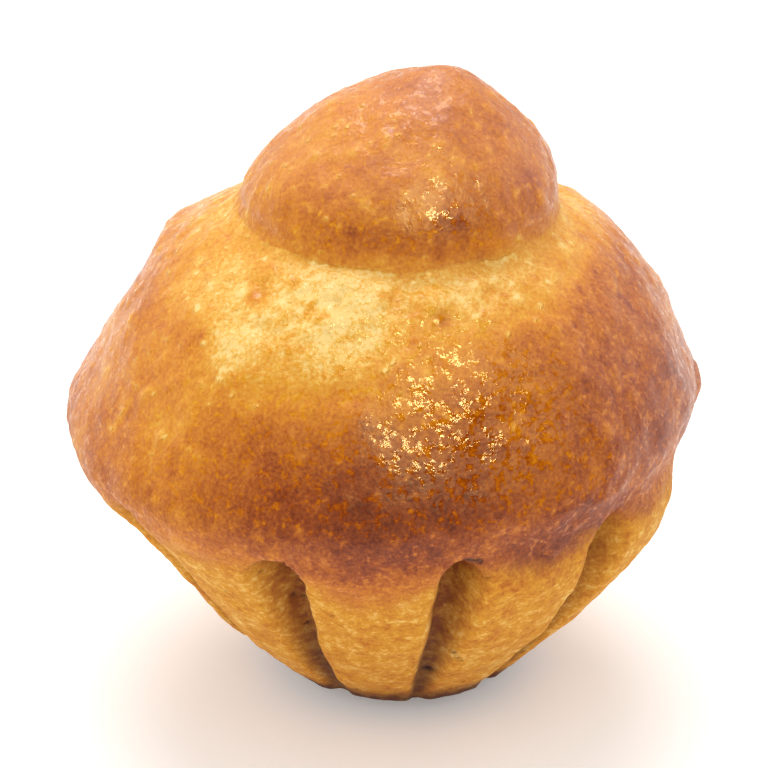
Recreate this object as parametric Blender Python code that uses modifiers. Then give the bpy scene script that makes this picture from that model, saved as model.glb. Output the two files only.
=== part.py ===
# Individual brioche with a head, baked in a small fluted tin.
# One solid: a fluted foot, a domed crown that swelled over the tin's rim, and a round head sunk in its top.
# Metres, +Z up. The origin is the centre of the flat foot, and -Y is the side that shows.
import math

import bpy
from mathutils import Vector, noise

# The fluted wall, as the tin shaped it.
FOOT_RADIUS = 0.0134
FOOT_EDGE_HEIGHT = 0.0006
WALL_START_RADIUS = 0.0183
WALL_START_HEIGHT = 0.0030
RIM_RADIUS = 0.0427
RIM_HEIGHT = 0.0390
WALL_BOW = 1.43

# The ten grooves that the tin's ribs pressed in, in degrees. Of the four that show: the azimuth at the rim,
# the azimuth at the foot, the reach to the left and the reach to the right. The others stand evenly behind.
FRONT_GROOVES = (
    (-54.0, -57.0, 8.0, 6.4),
    (-21.2, -27.2, 8.4, 5.2),
    (10.8, 5.8, 4.0, 7.8),
    (44.6, 40.5, 5.2, 8.2),
)
BACK_GROOVE_COUNT = 6
BACK_GROOVE_REACH = (7.0, 6.4)
GROOVE_FLOOR_SHARE = 0.14
GROOVE_DEPTH_AT_RIM = 0.0060
GROOVE_DEPTH_AT_FOOT = 0.0008
GROOVE_TOP_HEIGHT = 0.0392
GROOVE_TOP_ARCH = 0.0044
GROOVE_TOP_FADE = 0.0026

# The crown above the rim, up to the crease round the head.
CROWN_RADIUS = 0.0436
CROWN_WIDEST_HEIGHT = 0.0434
CROWN_ROUNDNESS = 1.47
CREASE_RADIUS = 0.0210
CREASE_HEIGHT = 0.0708

# The head, which curves in under itself to the crease.
HEAD_RADIUS = 0.0215
HEAD_HEIGHT = 0.0194
HEAD_TUCK = 0.0034
HEAD_ROUNDNESS = 1.50

# How the risen dough leans: the crown stands left of the foot and sags there, and the head's top leans right.
CROWN_LEAN = -0.0005
CROWN_LEAN_START_HEIGHT = 0.0273
CROWN_SAG = 0.0032
CROWN_SAG_HEIGHT = 0.0390
CROWN_SAG_REACH = 0.0070
HEAD_LEAN = 0.0050
HEAD_LEAN_CURVE = 1.45

# Swellings and hollows: azimuth in degrees, height, outward size, reach along and reach up.
LEFT_SHOULDER = (-116.0, 0.0631, 0.0025, 0.0085, 0.0026)
RIGHT_SHOULDER = (118.0, 0.0662, 0.0011, 0.0110, 0.0040)
RIGHT_HOLLOW = (90.0, 0.0512, -0.0010, 0.0130, 0.0040)
RIGHT_FLAP = (92.0, 0.0422, 0.0018, 0.0052, 0.0032)
RIGHT_BULGE = (64.0, 0.0350, 0.0008, 0.0070, 0.0035)
LEFT_BULGE = (-70.0, 0.0115, 0.0011, 0.0100, 0.0042)
HEAD_LEFT_EDGE = (-100.0, 0.0862, 0.0017, 0.0085, 0.0027)
SWELLINGS = (
    LEFT_SHOULDER,
    RIGHT_SHOULDER,
    RIGHT_HOLLOW,
    RIGHT_FLAP,
    RIGHT_BULGE,
    LEFT_BULGE,
    HEAD_LEFT_EDGE,
)
UNEVENNESS = 0.0005
UNEVENNESS_SPAN = 0.016
UNEVENNESS_FULL_HEIGHT = 0.0060

# Steps round the mesh, which crowd at the grooves, and its rings in each stretch of the section.
STEPS_BETWEEN_GROOVES = 12
GROOVE_CROWDING = 0.5
FOOT_RINGS = 2
WALL_RINGS = 13
WALL_RING_CROWDING = 1.35
RIM_RINGS = 3
CROWN_RINGS = 12
TUCK_RINGS = 3
HEAD_RINGS = 9

CRUST_COLOUR = (0.55, 0.22, 0.05, 1.0)
CRUST_ROUGHNESS = 0.42


def clear_scene():
    for obj in list(bpy.data.objects):
        bpy.data.objects.remove(obj)


def smoothstep(low, high, value):
    share = min(1.0, max(0.0, (value - low) / (high - low)))
    return share * share * (3.0 - 2.0 * share)


def bell(distance, reach):
    return math.exp(-((distance / reach) ** 2))


def shares(count):
    """Even shares of a stretch, without its start and with its end."""
    return [(step + 1) / count for step in range(count)]


def quarter_turn(centre, width, rise, roundness, count):
    """A quarter of a superellipse, as (radius, height), from beside its centre to above it."""
    points = []
    for share in shares(count):
        turn = math.radians(90.0) * share
        out = max(0.0, math.cos(turn)) ** (2.0 / roundness)
        up = math.sin(turn) ** (2.0 / roundness)
        points.append(centre + Vector((width * out, rise * up)))
    return points


def foot_section():
    """The flat underside, from its middle out to the turned-up edge."""
    flat = [Vector((FOOT_RADIUS * share, 0.0)) for share in shares(FOOT_RINGS)]
    edge = Vector(((FOOT_RADIUS + WALL_START_RADIUS) * 0.5, FOOT_EDGE_HEIGHT))
    return [Vector((0.0, 0.0)), *flat, edge]


def wall_section():
    """The wall, which flares to the rim and bows outwards a little, with its rings closer near the rim."""
    start = Vector((WALL_START_RADIUS, WALL_START_HEIGHT))
    flare = RIM_RADIUS - WALL_START_RADIUS
    rise = RIM_HEIGHT - WALL_START_HEIGHT
    points = [start]
    for share in shares(WALL_RINGS):
        up = 1.0 - (1.0 - share) ** WALL_RING_CROWDING
        out = 1.0 - (1.0 - up) ** WALL_BOW
        points.append(start + Vector((flare * out, rise * up)))
    return points


def crown_section():
    """The swell over the rim, then the dome that falls in to the crease."""
    points = []
    for share in shares(RIM_RINGS):
        out = math.sin(math.radians(90.0) * share)
        swell = Vector(((CROWN_RADIUS - RIM_RADIUS) * out, (CROWN_WIDEST_HEIGHT - RIM_HEIGHT) * share))
        points.append(Vector((RIM_RADIUS, RIM_HEIGHT)) + swell)
    centre = Vector((CREASE_RADIUS, CROWN_WIDEST_HEIGHT))
    rise = CREASE_HEIGHT - CROWN_WIDEST_HEIGHT
    return points + quarter_turn(centre, CROWN_RADIUS - CREASE_RADIUS, rise, CROWN_ROUNDNESS, CROWN_RINGS)


def head_section():
    """The head: out from the crease to its widest, then in over the top."""
    points = []
    for share in shares(TUCK_RINGS):
        turn = math.radians(90.0) * share
        out = (HEAD_RADIUS - CREASE_RADIUS) * math.sin(turn)
        up = HEAD_TUCK * (1.0 - math.cos(turn))
        points.append(Vector((CREASE_RADIUS + out, CREASE_HEIGHT + up)))
    centre = Vector((0.0, CREASE_HEIGHT + HEAD_TUCK))
    points += quarter_turn(centre, HEAD_RADIUS, HEAD_HEIGHT - HEAD_TUCK, HEAD_ROUNDNESS, HEAD_RINGS)
    points[-1].x = 0.0
    return points


def half_section():
    return foot_section() + wall_section() + crown_section() + head_section()


def turned_mesh(section):
    """The section turned about Z by a Screw modifier, as a plain mesh."""
    outline = bpy.data.meshes.new("brioche_section")
    points = [(point.x, 0.0, point.y) for point in reversed(section)]
    outline.from_pydata(points, [(i, i + 1) for i in range(len(points) - 1)], [])
    turned = bpy.data.objects.new("brioche_turned", outline)
    bpy.context.scene.collection.objects.link(turned)
    screw = turned.modifiers.new("turn", "SCREW")
    screw.steps = screw.render_steps = STEPS_BETWEEN_GROOVES * (len(FRONT_GROOVES) + BACK_GROOVE_COUNT)
    screw.use_merge_vertices = True
    screw.merge_threshold = 0.00005
    graph = bpy.context.evaluated_depsgraph_get()
    mesh = bpy.data.meshes.new_from_object(turned.evaluated_get(graph))
    bpy.data.objects.remove(turned)
    return mesh


def all_grooves():
    """The grooves that show, then the rest evenly round the back."""
    start = FRONT_GROOVES[-1][0]
    gap = (FRONT_GROOVES[0][0] + 360.0 - start) / (BACK_GROOVE_COUNT + 1)
    back = [start + gap * (number + 1) for number in range(BACK_GROOVE_COUNT)]
    return [*FRONT_GROOVES, *((azimuth, azimuth, *BACK_GROOVE_REACH) for azimuth in back)]


def groove_azimuths(height, grooves):
    """The azimuths of the grooves in degrees at a height: they lean between the rim and the foot."""
    up = min(1.0, height / RIM_HEIGHT)
    return [foot + (rim - foot) * up for rim, foot, _, _ in grooves]


def turn_between(azimuth, degrees):
    """The angle from a direction in degrees to an azimuth, at most half a turn either way."""
    return (azimuth - math.radians(degrees) + math.pi) % (2.0 * math.pi) - math.pi


def crowded(azimuth, azimuths):
    """Where an evenly spaced step of the turned mesh moves to, so that the steps crowd at the grooves."""
    place = azimuth / (2.0 * math.pi) % 1.0 * len(azimuths)
    start, after = azimuths[int(place)], azimuths[(int(place) + 1) % len(azimuths)]
    share = place % 1.0
    share -= GROOVE_CROWDING * math.sin(2.0 * math.pi * share) / (2.0 * math.pi)
    return math.radians(start + (after - start) % 360.0 * share)


def groove_depth(azimuth, height, grooves):
    """How far the nearest rib of the tin presses in at this place."""
    off_centre = math.inf
    for degrees, (_, _, left, right) in zip(groove_azimuths(height, grooves), grooves):
        turn = math.degrees(turn_between(azimuth, degrees))
        off_centre = min(off_centre, abs(turn) / (right if turn > 0.0 else left))
    across = 1.0 - smoothstep(GROOVE_FLOOR_SHARE, 1.0, off_centre)
    along = smoothstep(0.0, RIM_HEIGHT, height)
    depth = GROOVE_DEPTH_AT_FOOT + (GROOVE_DEPTH_AT_RIM - GROOVE_DEPTH_AT_FOOT) * along
    top = GROOVE_TOP_HEIGHT - GROOVE_TOP_ARCH * off_centre**2
    return depth * across * (1.0 - smoothstep(top - GROOVE_TOP_FADE, top, height))


def swelling(azimuth, height, radius, spot):
    degrees, spot_height, size, reach_along, reach_up = spot
    along = turn_between(azimuth, degrees) * radius
    return size * bell(along, reach_along) * bell(height - spot_height, reach_up)


def shape_dough(mesh):
    """Presses the grooves, swells the crown unevenly, and leans the crown and the head."""
    grooves = all_grooves()
    for vertex in mesh.vertices:
        x, y, height = vertex.co
        radius = math.hypot(x, y)
        azimuth = crowded(math.atan2(x, -y), groove_azimuths(height, grooves))
        off_axis = min(radius / FOOT_RADIUS, 1.0)
        above_foot = smoothstep(0.0, UNEVENNESS_FULL_HEIGHT, height)
        sag = CROWN_SAG * bell(height - CROWN_SAG_HEIGHT, CROWN_SAG_REACH)
        radius -= off_axis * groove_depth(azimuth, height, grooves)
        radius -= off_axis * sag * math.sin(azimuth)
        radius += off_axis * sum(swelling(azimuth, height, radius, spot) for spot in SWELLINGS)
        radius += off_axis * above_foot * UNEVENNESS * noise.noise(vertex.co / UNEVENNESS_SPAN)
        crown_lean = CROWN_LEAN * smoothstep(CROWN_LEAN_START_HEIGHT, CROWN_WIDEST_HEIGHT, height)
        head_share = max(0.0, height - CREASE_HEIGHT) / HEAD_HEIGHT
        head_lean = HEAD_LEAN * head_share**HEAD_LEAN_CURVE
        vertex.co.x = radius * math.sin(azimuth) + crown_lean + head_lean
        vertex.co.y = -radius * math.cos(azimuth)


def crust_material():
    material = bpy.data.materials.new("baked_crust")
    material.use_nodes = True
    shader = material.node_tree.nodes["Principled BSDF"]
    shader.inputs["Base Color"].default_value = CRUST_COLOUR
    shader.inputs["Roughness"].default_value = CRUST_ROUGHNESS
    return material


def make_brioche():
    mesh = turned_mesh(half_section())
    mesh.name = "brioche"
    shape_dough(mesh)
    mesh.materials.clear()
    mesh.materials.append(crust_material())
    mesh.shade_smooth()
    brioche = bpy.data.objects.new("brioche", mesh)
    collection = bpy.data.collections.new("Brioche")
    bpy.context.scene.collection.children.link(collection)
    collection.objects.link(brioche)


clear_scene()
make_brioche()
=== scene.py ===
import math
import random

import bmesh
import bpy
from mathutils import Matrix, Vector, kdtree, noise


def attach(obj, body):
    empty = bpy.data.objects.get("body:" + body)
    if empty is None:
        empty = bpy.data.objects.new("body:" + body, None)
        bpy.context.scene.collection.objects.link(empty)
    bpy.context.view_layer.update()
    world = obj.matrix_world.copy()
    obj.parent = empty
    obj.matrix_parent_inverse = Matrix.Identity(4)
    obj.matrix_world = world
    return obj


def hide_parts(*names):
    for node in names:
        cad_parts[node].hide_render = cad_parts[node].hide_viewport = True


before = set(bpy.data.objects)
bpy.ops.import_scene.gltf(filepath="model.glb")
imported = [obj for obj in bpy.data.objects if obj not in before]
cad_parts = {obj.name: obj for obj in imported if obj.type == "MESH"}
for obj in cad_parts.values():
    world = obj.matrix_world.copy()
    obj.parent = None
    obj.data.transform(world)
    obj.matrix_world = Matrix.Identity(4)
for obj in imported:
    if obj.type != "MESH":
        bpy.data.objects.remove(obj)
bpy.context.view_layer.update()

# Metres throughout. Azimuth 0 faces the camera and grows towards its right; angles here are in degrees.
dough = {
    # foot and fluted wall, as (radius, height)
    "footRadius": 0.0134,
    "footEdge": ((0.6, 1.0), (0.72, 1.05)),  # shares of the foot line over which it widens and rises
    "wallStart": (0.0183, 0.0030),
    "rim": (0.0427, 0.0390),
    "wallBow": 1.43,
    # grooves that show: azimuth at the rim and at the foot, reach to the left and to the right
    "grooves": ((-54.0, -57.0, 8.0, 6.4), (-21.2, -27.2, 8.4, 5.2),
                (10.8, 5.8, 4.0, 7.8), (44.6, 40.5, 5.2, 8.2)),
    "backGrooves": 6,
    "backReach": (7.0, 6.4),
    "grooveFloor": 0.14,
    "grooveDepthRim": 0.0062,
    "grooveDepthFoot": 0.0008,
    "grooveTop": 0.0392,
    "grooveArch": 0.0044,
    "grooveFade": 0.0020,
    "lobeRound": 0.0012,
    "lobeReach": 16.0,
    "lobeFade": (0.0312, 0.0412),  # the lobes' rounding ends between these heights
    # crown, crease and head
    "crown": (0.0436, 0.0434),
    "crownRoundness": 1.47,
    "crease": (0.0210, 0.0708),
    "headRadius": 0.0215,
    "headHeight": 0.0194,
    "headTuck": 0.0034,
    "headRoundness": 1.50,
    # leaning and sagging
    "crownLean": -0.0005,
    "crownLeanStart": 0.0273,  # the height above which it leans
    "sag": 0.0032,
    "sagHeight": 0.0390,
    "sagReach": 0.0070,
    "headLean": 0.0050,
    "headLeanCurve": 1.45,
    "summit": (0.0066, 0.0, 0.0011, 0.0084),  # where the head rises to a peak: x, y, size, reach
    # swellings: azimuth, height, outward size, reach along, reach up
    "swellings": (
        (-116.0, 0.0631, 0.0025, 0.0085, 0.0026),  # left shoulder
        (118.0, 0.0662, 0.0011, 0.0110, 0.0040),   # right shoulder
        (90.0, 0.0512, -0.0010, 0.0130, 0.0040),   # right hollow
        (64.0, 0.0350, 0.0008, 0.0070, 0.0035),    # right bulge
        (-70.0, 0.0115, 0.0011, 0.0100, 0.0042),   # left bulge
        (-100.0, 0.0862, 0.0017, 0.0085, 0.0027),  # head's left edge
    ),
    # where the head's edge hangs lower over the crease: azimuth, drop, reach in degrees
    "creaseDrops": ((2.0, 0.0009, 12.0), (-50.0, 0.0004, 9.0), (38.0, 0.0004, 8.0),
                    (120.0, 0.0006, 14.0), (-140.0, 0.0005, 12.0)),
    "creaseWave": (0.0004, 3.4),  # size, and how often it changes round the crease
    "creaseReach": 0.0026,
    "creaseFill": (0.0007, 2.6, 0.7),  # size, how often it changes, and by how much
    "creaseFillReach": 0.0015,
    "creaseRounding": (0.0016, 8),  # reach, and how often it is smoothed
    # flap of crust at the right edge: azimuth, lower end, upper end, size, half its width
    "flap": (92.0, 0.0399, 0.0452, 0.0011, 0.0050),
    "flapEdges": (0.0003, 0.0005),
    "flapSides": (0.55, 1.0),  # shares of that half over which it dies out
    # puckers in front of the head: azimuth, half turn, distance from the crease, reach, size, span
    "puckers": (-14.0, 46.0, 0.0062, 0.0058, 0.00095, 0.0030),
    "finePuckers": (0.6, 2.6),  # a finer layer on top: its share of the size, and how much finer
    # unevenness: (size, span) of each layer of lumps
    "lumps": ((0.0005, 0.016),),
    "skinLumps": ((0.00034, 0.0060), (0.00016, 0.0026), (0.00011, 0.0013)),
    # the flat foot has none; they are full from the second height up
    "lumpsStart": (0.0, 0.0060),
    "skinLumpsStart": (0.0005, 0.0040),
    # mesh
    "stepsBetweenGrooves": 45,
    "grooveCrowding": 0.28,
    "rings": {"foot": 6, "wall": 76, "swell": 10, "crown": 70, "tuck": 8, "head": 48},
}


def smooth(low, high, value):
    share = min(1.0, max(0.0, (value - low) / (high - low)))
    return share * share * (3.0 - 2.0 * share)


def bell(distance, reach):
    return math.exp(-((distance / reach) ** 2))


def turnFrom(azimuth, degrees):
    # angle from a direction in degrees to an azimuth, at most half a turn either way
    return (azimuth - math.radians(degrees) + math.pi) % (2.0 * math.pi) - math.pi


# The half section, one function for each stretch, from share 0 to share 1
def footLine(share):
    wider, higher = dough["footEdge"]
    edge = dough["footRadius"] + (dough["wallStart"][0] - dough["footRadius"]) * smooth(*wider, share)
    return Vector((edge * share, dough["wallStart"][1] * smooth(*higher, share)))


def wallLine(share):
    start, rim = Vector(dough["wallStart"]), Vector(dough["rim"])
    out = 1.0 - (1.0 - share) ** dough["wallBow"]
    return start + Vector(((rim.x - start.x) * out, (rim.y - start.y) * share))


def swellLine(share):
    rim, crown = Vector(dough["rim"]), Vector(dough["crown"])
    return rim + Vector(((crown.x - rim.x) * math.sin(math.radians(90.0) * share), (crown.y - rim.y) * share))


def quarterTurn(centre, width, rise, roundness, share):
    # quarter of a superellipse, from beside its centre to above it
    turn = math.radians(90.0) * share
    out = max(0.0, math.cos(turn)) ** (2.0 / roundness)
    return centre + Vector((width * out, rise * math.sin(turn) ** (2.0 / roundness)))


def crownLine(share):
    crown, crease = Vector(dough["crown"]), Vector(dough["crease"])
    centre = Vector((crease.x, crown.y))
    return quarterTurn(centre, crown.x - crease.x, crease.y - crown.y, dough["crownRoundness"], share)


def tuckLine(share):
    turn = math.radians(90.0) * share
    out = (dough["headRadius"] - dough["crease"][0]) * math.sin(turn)
    return Vector(dough["crease"]) + Vector((out, dough["headTuck"] * (1.0 - math.cos(turn))))


def headLine(share):
    centre = Vector((0.0, dough["crease"][1] + dough["headTuck"]))
    rise = dough["headHeight"] - dough["headTuck"]
    point = quarterTurn(centre, dough["headRadius"], rise, dough["headRoundness"], share)
    return point if share < 1.0 else Vector((0.0, point.y))


def evenPoints(line, count, fineness=500):
    # points the same distance apart along a stretch, without its first
    fine = [line(step / fineness) for step in range(fineness + 1)]
    run = [0.0]
    for before, after in zip(fine, fine[1:]):
        run.append(run[-1] + (after - before).length)
    points, place = [], 1
    for number in range(1, count + 1):
        goal = run[-1] * number / count
        while place < fineness and run[place] < goal:
            place += 1
        share = (goal - run[place - 1]) / (run[place] - run[place - 1])
        points.append(fine[place - 1].lerp(fine[place], min(1.0, share)))
    return points


def turnedDough():
    # the half section spun about the upright axis
    stretches = {"foot": footLine, "wall": wallLine, "swell": swellLine,
                 "crown": crownLine, "tuck": tuckLine, "head": headLine}
    section = [Vector((0.0, 0.0))]
    for name, line in stretches.items():
        section += evenPoints(line, dough["rings"][name])
    section[-1].x = 0.0
    bm = bmesh.new()
    chain = [bm.verts.new((point.x, 0.0, point.y)) for point in section]
    for lower, upper in zip(chain, chain[1:]):
        bm.edges.new((lower, upper))
    about = {"cent": (0.0, 0.0, 0.0), "axis": (0.0, 0.0, 1.0), "dvec": (0.0, 0.0, 0.0)}
    slices = len(dough["grooves"]) + dough["backGrooves"]
    turn = 2.0 * math.pi / slices
    bmesh.ops.spin(bm, geom=bm.verts[:] + bm.edges[:], angle=turn, steps=dough["stepsBetweenGrooves"], **about)
    bmesh.ops.spin(bm, geom=bm.verts[:] + bm.edges[:] + bm.faces[:], angle=turn * (slices - 1),
                   steps=slices - 1, use_duplicate=True, **about)
    bmesh.ops.remove_doubles(bm, verts=bm.verts, dist=0.000001)
    bmesh.ops.recalc_face_normals(bm, faces=bm.faces)
    return bm


def allGrooves():
    first, last = dough["grooves"][0], dough["grooves"][-1]
    gap = (first[0] + 360.0 - last[0]) / (dough["backGrooves"] + 1)
    behind = [last[0] + gap * (number + 1) for number in range(dough["backGrooves"])]
    return [*dough["grooves"], *((azimuth, azimuth, *dough["backReach"]) for azimuth in behind)]


def grooveAzimuths(height, grooves):
    up = min(1.0, height / dough["rim"][1])
    return [foot + (rim - foot) * up for rim, foot, _, _ in grooves]


def crowded(azimuth, azimuths):
    # where an even step of the turned mesh moves to, so that the steps follow the grooves and crowd there
    place = azimuth / (2.0 * math.pi) % 1.0 * len(azimuths)
    start, after = azimuths[int(place)], azimuths[(int(place) + 1) % len(azimuths)]
    share = place % 1.0
    share -= dough["grooveCrowding"] * math.sin(2.0 * math.pi * share) / (2.0 * math.pi)
    return math.radians(start + (after - start) % 360.0 * share)


def nearestGroove(azimuth, height, grooves):
    # (degrees from its middle, that distance as a share of its reach on this side)
    nearest = (180.0, 10.0)
    for middle, (_, _, left, right) in zip(grooveAzimuths(height, grooves), grooves):
        angle = math.degrees(turnFrom(azimuth, middle))
        if abs(angle) < nearest[0]:
            nearest = (abs(angle), abs(angle) / (right if angle > 0.0 else left))
    return nearest


def grooveAt(azimuth, height, grooves):
    # (how far the tin's rib presses in, how much of this place lies in the groove)
    angle, offCentre = nearestGroove(azimuth, height, grooves)
    across = 1.0 - smooth(dough["grooveFloor"], 1.0, offCentre)
    along = smooth(0.0, dough["rim"][1], height)
    depth = dough["grooveDepthFoot"] + (dough["grooveDepthRim"] - dough["grooveDepthFoot"]) * along
    top = dough["grooveTop"] - dough["grooveArch"] * offCentre ** 2
    under = 1.0 - smooth(top - dough["grooveFade"], top, height)
    lobe = 1.0 - min(1.0, angle / dough["lobeReach"])
    below = 1.0 - smooth(*dough["lobeFade"], height)
    return depth * across * under + dough["lobeRound"] * lobe ** 2 * below * along, across * under


def creaseDrop(azimuth):
    drop = sum(size * bell(math.degrees(turnFrom(azimuth, middle)), reach)
               for middle, size, reach in dough["creaseDrops"])
    size, often = dough["creaseWave"]
    return drop + size * noise.noise(Vector((math.sin(azimuth), math.cos(azimuth), 0.0)) * often)


def creaseFill(azimuth):
    # dough that fills the corner between the head and the neck, unevenly
    size, often, change = dough["creaseFill"]
    return size * (1.0 + change * noise.noise(Vector((math.sin(azimuth), math.cos(azimuth), 2.0)) * often))


def flapAt(azimuth, height, radius):
    # a plate of crust that stands off the crown, with a sharp lower and upper end
    degrees, low, high, size, half = dough["flap"]
    lowEdge, highEdge = dough["flapEdges"]
    beside = 1.0 - smooth(*dough["flapSides"], abs(turnFrom(azimuth, degrees)) * radius / half)
    above = smooth(low - lowEdge, low + lowEdge, height)
    return size * beside * above * (1.0 - smooth(high - highEdge, high + highEdge, height))


def puckersAt(azimuth, place, fromCrease):
    degrees, halfTurn, middle, reach, size, span = dough["puckers"]
    here = bell(math.degrees(turnFrom(azimuth, degrees)), halfTurn) * bell(fromCrease - middle, reach)
    share, finer = dough["finePuckers"]
    return size * here * (noise.noise(place / span) + share * noise.noise(place / span * finer))


def shapeDough(bm):
    # presses the grooves, swells the crown unevenly, and leans the crown and the head
    layers = {name: bm.verts.layers.float.new(name) for name in ("hollow", "head", "fromCrease")}
    grooves = allGrooves()
    crease = Vector(dough["crease"])
    for vert in bm.verts:
        x, y, height = vert.co
        radius = math.hypot(x, y)
        azimuth = crowded(math.atan2(x, -y), grooveAzimuths(height, grooves))
        fromCrease = (Vector((radius, height)) - crease).length
        vert[layers["fromCrease"]] = fromCrease
        vert[layers["head"]] = 1.0 if height > crease.y + 0.00001 else 0.0
        offAxis = min(radius / dough["footRadius"], 1.0)
        aboveFoot = smooth(*dough["lumpsStart"], height)
        pressed, inGroove = grooveAt(azimuth, height, grooves)
        vert[layers["hollow"]] = inGroove if radius > dough["footRadius"] else 0.0
        sag = dough["sag"] * bell(height - dough["sagHeight"], dough["sagReach"])
        place = Vector((radius * math.sin(azimuth), -radius * math.cos(azimuth), height))
        radius -= offAxis * (pressed + sag * math.sin(azimuth))
        for degrees, level, size, along, up in dough["swellings"]:
            swell = bell(turnFrom(azimuth, degrees) * radius, along) * bell(height - level, up)
            radius += offAxis * size * swell
        radius += offAxis * flapAt(azimuth, height, radius)
        for size, span in dough["lumps"]:
            radius += offAxis * aboveFoot * size * noise.noise(place / span)
        share = max(0.0, height - crease.y) / dough["headHeight"]
        lean = dough["headLean"] * share ** dough["headLeanCurve"]
        lean += dough["crownLean"] * smooth(dough["crownLeanStart"], dough["crown"][1], height)
        height -= creaseDrop(azimuth) * bell(fromCrease, dough["creaseReach"])
        fill = creaseFill(azimuth) * bell(fromCrease, dough["creaseFillReach"])
        radius += fill
        height += fill + puckersAt(azimuth, place, fromCrease) * (1.0 - vert[layers["head"]])
        vert.co = (radius * math.sin(azimuth) + lean, -radius * math.cos(azimuth), height)
        peakX, peakY, rise, reach = dough["summit"]
        peak = bell(math.hypot(vert.co.x - peakX, vert.co.y - peakY), reach)
        vert.co.z += rise * peak * vert[layers["head"]]


def roundCrease(bm):
    reach, times = dough["creaseRounding"]
    fromCrease = bm.verts.layers.float["fromCrease"]
    near = [vert for vert in bm.verts if vert[fromCrease] < reach]
    for _ in range(times):
        bmesh.ops.smooth_vert(bm, verts=near, factor=0.5, use_axis_x=True, use_axis_y=True, use_axis_z=True)


def roughenSkin(bm):
    # small lumps along the normals, none on the flat foot
    bm.normal_update()
    moves = []
    for vert in bm.verts:
        aboveFoot = smooth(*dough["skinLumpsStart"], vert.co.z)
        push = sum(size * noise.noise(vert.co / span) for size, span in dough["skinLumps"])
        moves.append(vert.normal * push * aboveFoot)
    for vert, move in zip(bm.verts, moves):
        vert.co += move


# How far each place is baked, from 0 for pale to 1 for dark, with painted light and shade added in some places
baking = {
    "crown": 0.60,
    "head": 0.53,
    "neck": 0.19,
    # the head's underside: browner than the neck, partly painted shade under the head's overhang
    "underHeadWithShade": 0.35,
    "underHeadEnd": (0.0005, 0.0090),  # the head turns from its shaded underside to its own browning between these distances from the crease
    "creasePaintedShade": (0.02, 0.0016),  # painted shade in the crease: how much darker the neck is right at the crease, and how far out
    # the pale neck starts and ends this far from the crease, and its end wanders by this share and span
    "neckStart": 0.003,
    "neckEnd": 0.019,
    "neckWander": (0.35, 0.009),
    # where its end lies further out, or nearer (less than 0): azimuth, half turn, how far
    "neckReaches": ((-22.0, 34.0, 0.006), (70.0, 45.0, -0.006)),
    "unevenness": ((0.10, 0.012), (0.10, 0.0050)),
    "unevennessPlace": (7.0, 3.0, 5.0),
    # where the crust is paler (less than 0) or browner: azimuth, height, reach along, reach up, amount
    # partly real browning, partly painted light and shade: paler patches on the lit left, browner ones on the
    # right and under the head's left side, where it is shaded
    "patches": (
        (-4.0, 0.0480, 0.020, 0.0085, 0.30),
        (12.0, 0.0748, 0.015, 0.0032, 0.14),
        (31.0, 0.0350, 0.009, 0.0060, 0.22),
        (62.0, 0.0300, 0.014, 0.0120, -0.08),
        (-10.0, 0.0850, 0.014, 0.0060, -0.04),
        (36.0, 0.0385, 0.010, 0.0040, 0.10),
        (-35.0, 0.0400, 0.010, 0.0035, -0.08),
        (60.0, 0.0540, 0.016, 0.0120, 0.14),
        (-2.0, 0.0410, 0.018, 0.0045, 0.12),
        (62.0, 0.0450, 0.014, 0.0080, 0.14),
        (30.0, 0.0390, 0.010, 0.0040, 0.22),
        (70.0, 0.0800, 0.014, 0.0080, 0.10),
        (-52.0, 0.0590, 0.008, 0.0060, -0.12),
        (-66.0, 0.0560, 0.020, 0.0120, -0.14),
        (-42.0, 0.0480, 0.012, 0.0080, -0.08),
        (-22.0, 0.0620, 0.014, 0.0072, -0.30),
        (-65.0, 0.0735, 0.014, 0.0040, 0.14),
        (-62.0, 0.0680, 0.012, 0.0030, 0.10),
        (18.0, 0.0772, 0.0045, 0.0024, 0.08),
        (40.0, 0.0880, 0.010, 0.0040, 0.12),
        (-60.0, 0.0870, 0.008, 0.0030, -0.08),
        (-15.0, 0.0755, 0.005, 0.0024, 0.08),
        (-70.0, 0.0800, 0.016, 0.0080, -0.10),
        (2.0, 0.0728, 0.014, 0.0024, 0.06),
    ),
    "most": 0.90,
    # painted shadow under the foot: it is darker from the first height down, and fades up to the second
    "footLine": (0.0034, 0.0076),
    "footPaintedShadow": 0.6,
    "footPaintedShadowLine": (0.00306, 0.00608),
    "footMiddle": (0.7, 0.8),  # shares of the foot's radius within which neither reaches
    "paintedSheen": (0.0755, 0.0810),  # painted sheen: the head's top turns peach-coloured between these heights, for the reflection of the bright surroundings
    # how much darker the grooves are low down, fading between two heights
    "grooveLowDarkening": 0.52,
    "grooveLowHeights": (0.010, 0.033),
    # where the egg wash dried in bubbles: azimuth, height, reach along, reach up, how much
    "bubbled": (
        (15.0, 0.0562, 0.0140, 0.0085, 1.0),
        (4.0, 0.0860, 0.0090, 0.0050, 0.7),
        (19.0, 0.0780, 0.0032, 0.0022, 0.8),
        (12.0, 0.0655, 0.0100, 0.0034, 0.8),
        (36.0, 0.0560, 0.0060, 0.0012, 0.8),
        (-14.0, 0.0676, 0.0190, 0.0040, 0.9),
    ),
    # the crust is dull this near the crease, and under the crown, fading between two heights
    "creaseMatt": 0.0028,
    "underMatt": (0.0395, 0.0470),
    # where the tin's dull wall ends: on a lobe, how much higher in a groove, and how much lower on the
    # front lobe (azimuth, half turn, drop)
    "wallTop": 0.0358,
    "wallTopRise": 0.0028,
    "frontLobe": (-5.0, 13.0, 0.0042),
    "wallTopWander": ((0.0014, 0.0050), (0.0012, 0.0016)),
    "wallTopBlur": (0.0034, 0.0018),  # half its width on a lobe and in a groove
}


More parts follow.
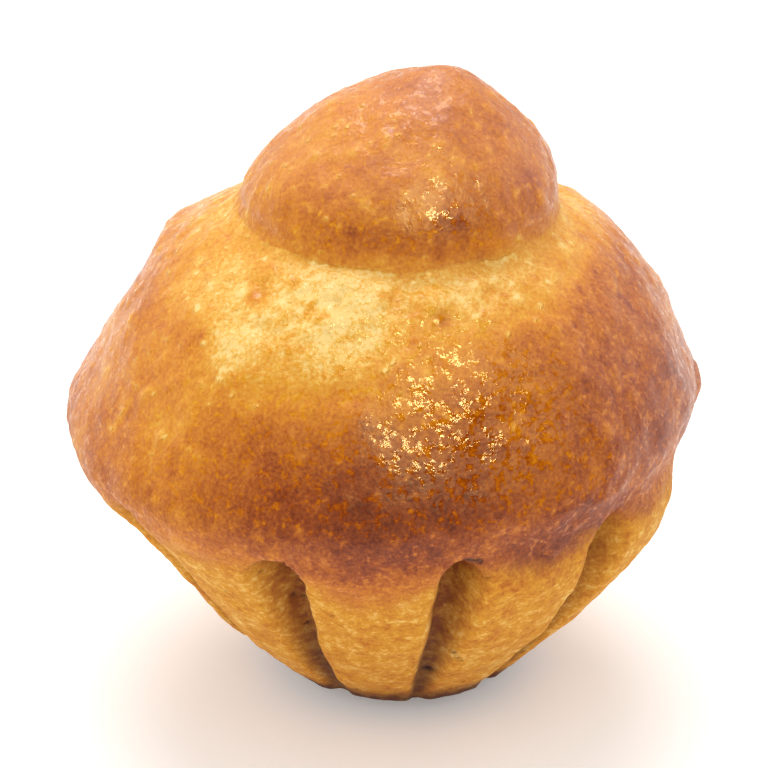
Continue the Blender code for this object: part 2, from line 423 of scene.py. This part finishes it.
def wallTopAt(azimuth, place, offLobe):
    # the height where the tin's dull wall ends
    degrees, halfTurn, drop = baking["frontLobe"]
    edge = baking["wallTop"] + baking["wallTopRise"] * offLobe ** 2
    edge -= drop * bell(math.degrees(turnFrom(azimuth, degrees)), halfTurn)
    return edge + sum(size * noise.noise(place / span) for size, span in baking["wallTopWander"])


def headBake(fromCrease):
    share = smooth(*baking["underHeadEnd"], fromCrease)
    return baking["underHeadWithShade"] + (baking["head"] - baking["underHeadWithShade"]) * share


def neckBake(azimuth, place, fromCrease):
    # pale at the neck, brown on the crown
    end = baking["neckEnd"]
    for degrees, halfTurn, further in baking["neckReaches"]:
        end += further * bell(math.degrees(turnFrom(azimuth, degrees)), halfTurn)
    wander, span = baking["neckWander"]
    share = smooth(baking["neckStart"], end * (1.0 + wander * noise.noise(place / span)), fromCrease)
    amount, reach = baking["creasePaintedShade"]
    level = baking["neck"] + (baking["crown"] - baking["neck"]) * share
    return level + amount * bell(fromCrease, reach)


def spotAt(azimuth, radius, height, spot):
    # how much of a patch's amount reaches this place
    degrees, middle, along, up, amount = spot
    return amount * bell(turnFrom(azimuth, degrees) * radius, along) * bell(height - middle, up)


def bakeCrust(bm):
    # how brown each place is, and what else the material needs to know of it
    browningAndShade, tinned, bubbled, matt, paintedShadeAndDarkening, paintedSheen = (
        bm.verts.layers.float.new(name) for name in ("browningAndShade", "tinned", "bubbled", "matt", "paintedShadeAndDarkening", "paintedSheen"))
    hollow, head, fromCrease = (bm.verts.layers.float[name] for name in ("hollow", "head", "fromCrease"))
    grooves = allGrooves()
    elsewhere = Vector(baking["unevennessPlace"])
    lobeBlur, grooveBlur = baking["wallTopBlur"]
    for vert in bm.verts:
        x, y, height = vert.co
        azimuth, radius = math.atan2(x, -y), math.hypot(x, y)
        offLobe = 1.0 - min(1.0, nearestGroove(azimuth, height, grooves)[0] / dough["lobeReach"])
        edge = wallTopAt(azimuth, vert.co, offLobe)
        blur = lobeBlur + (grooveBlur - lobeBlur) * offLobe
        vert[tinned] = 1.0 - smooth(edge - blur, edge + blur, height)
        onHead = vert[head] > 0.5
        level = headBake(vert[fromCrease]) if onHead else neckBake(azimuth, vert.co, vert[fromCrease])
        level += sum(size * noise.noise(vert.co / span + elsewhere) for size, span in baking["unevenness"])
        level += sum(spotAt(azimuth, radius, height, patch) for patch in baking["patches"])
        vert[browningAndShade] = min(baking["most"], level)
        underCrown = 1.0 - smooth(*baking["underMatt"], height)
        vert[matt] = max(bell(vert[fromCrease], baking["creaseMatt"]), underCrown)
        # painted sheen on the head's top
        vert[paintedSheen] = vert[head] * smooth(*baking["paintedSheen"], height)
        vert[paintedShadeAndDarkening] = baking["grooveLowDarkening"] * vert[hollow] * (1.0 - smooth(*baking["grooveLowHeights"], height))
        # painted shadow on the foot's underside, in the grooves' colour and the dark colour
        if radius > dough["footRadius"] * baking["footMiddle"][0]:
            vert[hollow] = max(vert[hollow], 1.0 - smooth(*baking["footLine"], height))
        if radius > dough["footRadius"] * baking["footMiddle"][1]:
            shade = baking["footPaintedShadow"] * (1.0 - smooth(*baking["footPaintedShadowLine"], height))
            vert[paintedShadeAndDarkening] = max(vert[paintedShadeAndDarkening], shade)
        vert[bubbled] = max(spotAt(azimuth, radius, height, spot) for spot in baking["bubbled"])


# Small marks of the crust. A kind has its push outwards for each metre of its radius, how much browner it is, and
# how much painted shade it gets, for the dark inside a hole or crack.
marks = {
    "kinds": {
        "blister": (0.20, -0.16, 0.0),
        "speck": (0.08, -0.26, 0.0),
        "translucent": (-0.06, 0.20, 0.0),
        "pore": (-0.60, 0.10, 0.55),
        "scorch": (0.0, 0.10, 0.0),
        # dark spots: browner, with painted shade; at the groove tops they are painted shadow under the arches
        "darkSpot": (0.0, 0.30, 0.24),
        "lump": (0.30, -0.08, 0.0),
        "crack": (-0.40, 0.10, 0.7),
    },
    # kind, azimuth, height, radius
    "placed": (
        ("translucent", -40.2, 0.0675, 0.0015),
        ("translucent", -42.5, 0.0671, 0.0011),
        ("translucent", -24.5, 0.0675, 0.0013),
        ("translucent", -20.5, 0.0671, 0.0012),
        ("translucent", 11.3, 0.0668, 0.0012),
        ("translucent", -3.0, 0.0688, 0.0010),
        ("translucent", 26.0, 0.0684, 0.0011),
        ("lump", -17.0, 0.0702, 0.0030),
        ("lump", -30.0, 0.0700, 0.0024),
        ("lump", -6.0, 0.0690, 0.0026),
        ("lump", 10.0, 0.0686, 0.0022),
        ("lump", -18.0, 0.0668, 0.0022),
        ("lump", 24.0, 0.0690, 0.0020),
        ("pore", -26.2, 0.0267, 0.0007),
        ("pore", -24.4, 0.0262, 0.0004),
        ("pore", 9.4, 0.0114, 0.0007),
        ("pore", 33.2, 0.0402, 0.0004),
        ("blister", 33.9, 0.0404, 0.0010),
        ("blister", 39.5, 0.0432, 0.0011),
        ("blister", -38.9, 0.0431, 0.0009),
        ("scorch", -14.5, 0.0752, 0.0014),
        ("scorch", -18.0, 0.0764, 0.0011),
        ("scorch", -31.0, 0.0802, 0.0014),
        ("scorch", -27.0, 0.0796, 0.0010),
        ("scorch", 21.0, 0.0768, 0.0014),
        ("scorch", 14.0, 0.0776, 0.0010),
        # dark spots along the flap's edges
        ("darkSpot", 92.0, 0.0401, 0.0009),
        ("darkSpot", 91.0, 0.0411, 0.0007),
        ("darkSpot", 92.0, 0.0432, 0.0007),
        ("darkSpot", 91.0, 0.0440, 0.0006),
        # painted shadow under the arches of the two front grooves
        ("darkSpot", -20.6, 0.0365, 0.0012),
        ("darkSpot", -22.0, 0.0335, 0.0008),
        ("darkSpot", 10.0, 0.0368, 0.0012),
        ("darkSpot", 9.4, 0.0345, 0.0009),
        ("darkSpot", 10.2, 0.0322, 0.0007),
        ("crack", 10.2, 0.0376, 0.0007),
        ("crack", 10.9, 0.0384, 0.0007),
        ("crack", 11.8, 0.0388, 0.0007),
        ("crack", 12.8, 0.0389, 0.0006),
        ("crack", 13.8, 0.0388, 0.0005),
        ("crack", 14.8, 0.0386, 0.0004),
        ("crack", 14.0, 0.0176, 0.0005),
        ("crack", 15.4, 0.0166, 0.0005),
        ("crack", 16.6, 0.0157, 0.0004),
    ),
    # kind, how many, least and most radius, least and most height
    "scattered": (
        ("blister", 260, 0.0005, 0.0010, 0.040, 0.088),
        ("speck", 520, 0.0003, 0.0005, 0.038, 0.088),
        ("pore", 60, 0.0002, 0.0004, 0.004, 0.036),
        ("scorch", 120, 0.0005, 0.0011, 0.040, 0.088),
        ("translucent", 40, 0.0005, 0.0009, 0.062, 0.070),
    ),
    "seed": 7,
    "widest": 2.2,  # radii out to which a mark has any effect
}


def addMarks(bm):
    # each mark moves its few vertices along their normals
    browningAndShade, paintedShadeAndDarkening = bm.verts.layers.float["browningAndShade"], bm.verts.layers.float["paintedShadeAndDarkening"]
    bm.normal_update()
    bm.verts.ensure_lookup_table()
    solid, chart = kdtree.KDTree(len(bm.verts)), kdtree.KDTree(len(bm.verts))
    across = dough["rim"][0]
    for vert in bm.verts:
        solid.insert(vert.co, vert.index)
        chart.insert((math.atan2(vert.co.x, -vert.co.y) * across, 0.0, vert.co.z), vert.index)
    solid.balance()
    chart.balance()
    chosen = random.Random(marks["seed"])
    spots = list(marks["placed"])
    for kind, count, least, most, low, high in marks["scattered"]:
        for _ in range(count):
            degrees, height = chosen.uniform(-180.0, 180.0), chosen.uniform(low, high)
            spots.append((kind, degrees, height, chosen.uniform(least, most)))
    moves = {}
    for kind, degrees, height, radius in spots:
        push, browning, holeShading = marks["kinds"][kind]
        middle = bm.verts[chart.find((math.radians(degrees) * across, 0.0, height))[1]].co.copy()
        for _, index, distance in solid.find_range(middle, radius * marks["widest"]):
            share = bell(distance, radius)
            moves[index] = moves.get(index, 0.0) + push * radius * share
            bm.verts[index][browningAndShade] += browning * share
            bm.verts[index][paintedShadeAndDarkening] += holeShading * share
    for index, move in moves.items():
        bm.verts[index].co += bm.verts[index].normal * move


class Wire:
    # a socket that can stand in sums: wire + 1, 1 - wire, wire * other
    def __init__(self, sheet, socket):
        self.sheet, self.socket = sheet, socket

    def sum(self, operation, first, second):
        return self.sheet.add("ShaderNodeMath", {"operation": operation}, {0: first, 1: second})

    def __add__(self, other):
        return self.sum("ADD", self, other)

    def __radd__(self, other):
        return self.sum("ADD", other, self)

    def __sub__(self, other):
        return self.sum("SUBTRACT", self, other)

    def __rsub__(self, other):
        return self.sum("SUBTRACT", other, self)

    def __mul__(self, other):
        return self.sum("MULTIPLY", self, other)

    def __rmul__(self, other):
        return self.sum("MULTIPLY", other, self)


class Sheet:
    # the nodes of one material
    def __init__(self, name):
        self.material = bpy.data.materials.new(name)
        self.material.use_nodes = True
        self.tree = self.material.node_tree
        self.tree.nodes.clear()

    def add(self, kind, settings, sockets, output=0):
        node = self.tree.nodes.new(kind)
        stops = settings.pop("stops", None)
        for name, value in settings.items():
            setattr(node, name, value)
        if stops:
            ramp = node.color_ramp
            while len(ramp.elements) < len(stops):
                ramp.elements.new(0.5)
            for element, (position, shade) in zip(ramp.elements, stops):
                element.position, element.color = position, shade
        for name, value in sockets.items():
            if isinstance(value, Wire):
                self.tree.links.new(value.socket, node.inputs[name])
            else:
                node.inputs[name].default_value = value
        return Wire(self, node.outputs[output]) if node.outputs else None

    def attribute(self, name):
        return self.add("ShaderNodeAttribute", {"attribute_name": name}, {}, "Fac")

    def noise(self, place, span, detail=2.0, roughness=0.5):
        sockets = {"Vector": place, "Scale": 1.0 / span, "Detail": detail, "Roughness": roughness}
        return self.add("ShaderNodeTexNoise", {}, sockets)

    def between(self, value, low, high):
        # 0 below low, 1 above high
        sockets = {"Value": value, "From Min": low, "From Max": high}
        return self.add("ShaderNodeMapRange", {"interpolation_type": "SMOOTHSTEP"}, sockets)

    def mix(self, factor, first, second):
        return self.add("ShaderNodeMix", {"data_type": "RGBA"}, {0: factor, 6: first, 7: second}, 2)

    def ramp(self, stops, level):
        stops = [(position, colour(*shade)) for position, shade in stops]
        return self.add("ShaderNodeValToRGB", {"stops": stops}, {"Fac": level})


def colour(red, green, blue):
    # a screen colour, 0 to 255, as the linear one that nodes take
    return tuple((part / 255.0) ** 2.2 for part in (red, green, blue)) + (1.0,)


crust = {
    "stops": ((0.0, (240, 202, 122)), (0.10, (232, 180, 82)), (0.24, (222, 152, 40)), (0.42, (208, 126, 20)),
              (0.62, (182, 97, 9)), (0.80, (150, 68, 2)), (1.0, (114, 44, 2))),
    "wallStops": ((0.0, (240, 206, 124)), (0.36, (210, 144, 34)), (0.70, (180, 98, 8)), (1.0, (124, 56, 3))),
    # painted sheen on the head's top: its peach colour, and how strong it is
    "paintedSheenColour": (222, 146, 106),
    "paintedSheen": 0.17,
    # the wall: how much it follows the baking above it, and how brown it is without mottling
    "wallBake": 0.6,
    "wallMiddle": 0.42,
    # grooves: a browner colour with painted shade, strongest at their floor; how much of it everywhere, how much
    # more in mottled patches, and where those are
    "grooveShadeBase": 0.62,
    "grooveShadeMottled": 0.28,
    "grooveMottleIslands": 0.6,
    "grooveMottleFrom": (0.36, 0.66),
    "grooveBrownAndShade": (108, 44, 2),
    "paintedShadeColour": (52, 22, 8),
    # spans and sizes of the layers of mottling; streaks are stretched upright
    "patchSpan": 0.0026,
    "islandSpan": 0.0011,
    "streakSpan": 0.0012,
    "streakStretch": 0.40,
    "grainSpan": 0.00050,
    "patchSize": 0.34,
    "islandSize": 0.24,
    "islandsFrom": (0.53, 0.68),
    "streakSize": 0.26,
    "grainSize": 0.56,
    # the wall's own mix of the same layers
    "wallMottle": 1.9,
    "wallIslands": 0.40,
    "wallGrain": 0.30,
    # roughness where the egg wash is dry, and how much smoother it is where it stayed wet
    "glaze": 0.37,
    "wetGloss": 0.17,
    "wetSpan": 0.0011,
    "wetFrom": (0.54, 0.60),
    "wetter": 0.07,  # more of it stayed wet where it bubbled
    "wallRoughness": 0.62,
    "subsurface": 0.10,
    "subsurfaceReach": 0.0014,
    "subsurfaceShares": (1.0, 0.45, 0.18),
    # fine relief
    "dimpleSpan": 0.00065,
    "dimpleDepth": 0.00006,
    "bubbledDimples": 0.00003,
    "grainDepth": 0.00007,
    "bubbleSpan": 0.00080,
    "bubbleDepth": 0.00012,
    # among the bubbles: how much smoother still the wet glaze is, and how much rougher the rest
    "bubbleGloss": 0.13,
    "bubbleDry": 0.30,
    "creaseMatt": 0.20,  # how much rougher the crust is at the crease and under the crown
    "foamBake": (0.16, 0.36),  # the pale neck is foamy where it is baked less than this
    "foamMottle": 0.40,
    "foamDepth": 0.00030,
    "wallPitSpan": 0.0009,
    "wallPitDepth": 0.00020,
    "wallPitsInGrooves": 0.15,
    "lightBending": 1.45,
    "shine": 0.52,
}


def crustMaterial():
    sheet = Sheet("bakedCrust")
    place = sheet.add("ShaderNodeTexCoord", {}, {}, "Object")
    upright = sheet.add("ShaderNodeMapping", {}, {"Vector": place, "Scale": (1.0, 1.0, crust["streakStretch"])})
    browningAndShade, tinned, hollow, paintedShadeAndDarkening, bubbled, matt, paintedSheen = (
        sheet.attribute(name) for name in ("browningAndShade", "tinned", "hollow", "paintedShadeAndDarkening", "bubbled", "matt", "paintedSheen"))
    patches = sheet.noise(place, crust["patchSpan"], 3.0, 0.55)
    islands = sheet.noise(place, crust["islandSpan"], 3.0, 0.65)
    streaks = sheet.noise(upright, crust["streakSpan"], 3.0, 0.6)
    grain = sheet.noise(place, crust["grainSpan"], 2.0, 0.6)
    mottle = (patches - 0.5) * crust["patchSize"] + (streaks - 0.5) * crust["streakSize"]
    mottle = mottle + (grain - 0.5) * crust["grainSize"]
    golden = sheet.between(islands, *crust["islandsFrom"]) * crust["islandSize"]
    foam = 1.0 - sheet.between(browningAndShade, *crust["foamBake"])
    top = sheet.ramp(crust["stops"], browningAndShade + mottle - golden * browningAndShade + (islands - 0.5) * foam * crust["foamMottle"])
    # painted sheen: a peach colour mixed into the head's top for the reflection of the bright surroundings
    top = sheet.mix(paintedSheen * crust["paintedSheen"], top, colour(*crust["paintedSheenColour"]))
    wallMottle = (patches - 0.5) * crust["patchSize"] + (islands - 0.5) * crust["wallIslands"]
    wallMottle = wallMottle + (grain - 0.5) * crust["wallGrain"]
    wallMottle = wallMottle * crust["wallMottle"] + (browningAndShade - baking["crown"]) * crust["wallBake"]
    wall = sheet.ramp(crust["wallStops"], wallMottle + crust["wallMiddle"])
    shade = sheet.mix(tinned, top, wall)
    # painted shade in the grooves, partly their real browner colour
    grooveMottle = sheet.between(patches + (islands - 0.5) * crust["grooveMottleIslands"], *crust["grooveMottleFrom"])
    grooveMottle = grooveMottle * crust["grooveShadeMottled"] + crust["grooveShadeBase"]
    shade = sheet.mix(hollow * grooveMottle, shade, colour(*crust["grooveBrownAndShade"]))
    # painted shade: pores, cracks, the foot's underside and the groove arches darkened towards a dark brown; also
    # the darker low grooves and the flap's edge
    shade = sheet.mix(sheet.between(paintedShadeAndDarkening, 0.0, 1.0), shade, colour(*crust["paintedShadeColour"]))
    dimples = sheet.noise(place, crust["dimpleSpan"], 2.0, 0.5)
    pits = sheet.noise(place, crust["wallPitSpan"], 3.0, 0.6)
    bubbles = sheet.noise(place, crust["bubbleSpan"], 1.0, 0.5)
    relief = dimples * (bubbled * crust["bubbledDimples"] + crust["dimpleDepth"]) + grain * crust["grainDepth"]
    relief = relief + bubbles * bubbled * crust["bubbleDepth"] + islands * foam * crust["foamDepth"]
    pitted = tinned * (1.0 - hollow * (1.0 - crust["wallPitsInGrooves"]))
    relief = relief + pits * pitted * crust["wallPitDepth"]
    bump = sheet.add("ShaderNodeBump", {}, {"Strength": 1.0, "Distance": 1.0, "Height": relief})
    wetness = sheet.noise(place, crust["wetSpan"], 3.0, 0.6) + bubbled * crust["wetter"]
    wet = sheet.between(wetness, *crust["wetFrom"])
    glazed = crust["glaze"] + bubbled * crust["bubbleDry"]
    glazed = glazed - wet * (bubbled * (crust["bubbleGloss"] + crust["bubbleDry"]) + crust["wetGloss"])
    rough = glazed * (1.0 - tinned) + tinned * crust["wallRoughness"] + matt * crust["creaseMatt"]
    surface = sheet.add("ShaderNodeBsdfPrincipled", {}, {
        "Base Color": shade, "Roughness": rough, "Normal": bump,
        "IOR": crust["lightBending"], "Specular IOR Level": crust["shine"],
        "Subsurface Weight": crust["subsurface"], "Subsurface Radius": crust["subsurfaceShares"],
        "Subsurface Scale": crust["subsurfaceReach"],
    })
    sheet.add("ShaderNodeOutputMaterial", {}, {"Surface": surface})
    return sheet.material


def makeBrioche():
    bm = turnedDough()
    shapeDough(bm)
    roundCrease(bm)
    roughenSkin(bm)
    bakeCrust(bm)
    addMarks(bm)
    for face in bm.faces:
        face.smooth = True
    mesh = bpy.data.meshes.new("briocheCrust")
    bm.to_mesh(mesh)
    bm.free()
    mesh.materials.append(crustMaterial())
    piece = bpy.data.objects.new("briocheCrust", mesh)
    bpy.context.scene.collection.objects.link(piece)
    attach(piece, "root")
    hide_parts("brioche")
    print("brioche:", len(mesh.polygons), "faces")
    return piece


studio = {
    "floorSize": 8.0,
    "floorShade": (246, 245, 243),
    "floorGlow": 0.22,
    "shine": 0.2,
    "surroundings": 0.86,
    # softboxes: azimuth, elevation, distance, size, watts
    "overhead": (-172.0, 66.0, 0.9, 0.72, 5.8),
    "leftFill": (-70.0, 30.0, 0.9, 0.7, 0.6),
    # these two are seen only in the crust's gloss
    "glint": (20.0, 45.0, 0.74, 0.25, 6.0),
    "glintShade": (255, 230, 156),
    "sheen": (108.0, 24.0, 0.9, 0.9, 1.3),
    "aim": (0.0, 0.0, 0.044),
    # dark cloth in front, seen only in the crust's gloss: where it turns from and to, its height, and how far
    # off it starts and ends
    "clothTurn": (-88.0, 74.0),
    "clothHeight": 0.78,
    "clothNear": 0.095,
    "clothFar": 0.60,
    "clothShade": (26, 16, 10),
}


def addLight(name, azimuth, elevation, distance, size, watts, shade=(255, 255, 255)):
    turn, rise = math.radians(azimuth), math.radians(elevation)
    away = Vector((math.sin(turn) * math.cos(rise), -math.cos(turn) * math.cos(rise), math.sin(rise)))
    lamp = bpy.data.lights.new(name, "AREA")
    lamp.shape, lamp.size, lamp.energy = "DISK", size, watts
    lamp.color = colour(*shade)[:3]
    holder = bpy.data.objects.new(name, lamp)
    bpy.context.scene.collection.objects.link(holder)
    holder.location = Vector(studio["aim"]) + away * distance
    holder.rotation_euler = away.to_track_quat("Z", "Y").to_euler()
    holder.visible_camera = False
    return holder


def plainMaterial(name, shade, roughness, glow=0.0):
    sheet = Sheet(name)
    surface = sheet.add("ShaderNodeBsdfPrincipled", {}, {
        "Base Color": colour(*shade), "Roughness": roughness, "Specular IOR Level": studio["shine"],
        "Emission Color": colour(*shade), "Emission Strength": glow})
    sheet.add("ShaderNodeOutputMaterial", {}, {"Surface": surface})
    return sheet.material


def stagePiece(name, bm, material):
    mesh = bpy.data.meshes.new(name)
    bm.to_mesh(mesh)
    bm.free()
    mesh.materials.append(material)
    piece = bpy.data.objects.new(name, mesh)
    bpy.context.scene.collection.objects.link(piece)
    return piece


def makeFloor():
    bm = bmesh.new()
    bmesh.ops.create_grid(bm, x_segments=2, y_segments=2, size=studio["floorSize"] / 2.0)
    stagePiece("floor", bm, plainMaterial("paleFloor", studio["floorShade"], 0.7, studio["floorGlow"]))


def makeCloth():
    # lies in front and rises behind the camera
    first, last = (math.radians(degrees) for degrees in studio["clothTurn"])
    bm = bmesh.new()
    line = [bm.verts.new((radius * math.sin(first), -radius * math.cos(first), height))
            for radius, height in ((studio["clothNear"], 0.001), (studio["clothFar"], 0.001),
                                   (studio["clothFar"], studio["clothHeight"]))]
    for lower, upper in zip(line, line[1:]):
        bm.edges.new((lower, upper))
    bmesh.ops.spin(bm, geom=bm.verts[:] + bm.edges[:], cent=(0.0, 0.0, 0.0), axis=(0.0, 0.0, 1.0),
                   dvec=(0.0, 0.0, 0.0), angle=last - first, steps=48)
    cloth = stagePiece("darkCloth", bm, plainMaterial("darkCloth", studio["clothShade"], 0.9))
    cloth.visible_camera = cloth.visible_diffuse = cloth.visible_shadow = False
    cloth.visible_transmission = cloth.visible_volume_scatter = False


def makeStudio():
    makeFloor()
    makeCloth()
    world = bpy.data.worlds.new("studioAir")
    world.use_nodes = True
    air = world.node_tree.nodes["Background"]
    air.inputs["Color"].default_value = (1.0, 1.0, 1.0, 1.0)
    air.inputs["Strength"].default_value = studio["surroundings"]
    bpy.context.scene.world = world
    for name in ("overhead", "leftFill"):
        addLight(name, *studio[name])
    addLight("glint", *studio["glint"], studio["glintShade"]).visible_diffuse = False
    addLight("sheen", *studio["sheen"]).visible_diffuse = False
    print("studio: floor, cloth, air and lights")


camera = {
    "elevation": 27.0,
    "distance": 0.400,
    "aim": (0.0, 0.0, 0.044),
    "pixelsWide": 768,
    "focalPixels": 2840.0,
    "middle": (400.4, 383.0),  # the picture's point that the camera looks at
}


def makeCamera():
    rise = math.radians(camera["elevation"])
    back = Vector((0.0, -math.cos(rise), math.sin(rise)))
    data = bpy.data.cameras.new("camera")
    data.lens = data.sensor_width * camera["focalPixels"] / camera["pixelsWide"]
    data.shift_x = 0.5 - camera["middle"][0] / camera["pixelsWide"]
    data.shift_y = camera["middle"][1] / camera["pixelsWide"] - 0.5
    data.clip_start = 0.01
    holder = bpy.data.objects.new("camera", data)
    bpy.context.scene.collection.objects.link(holder)
    holder.location = Vector(camera["aim"]) + back * camera["distance"]
    holder.rotation_euler = back.to_track_quat("Z", "Y").to_euler()
    bpy.context.scene.camera = holder
    bpy.context.scene.view_settings.view_transform = "Standard"


makeBrioche()
makeStudio()
makeCamera()
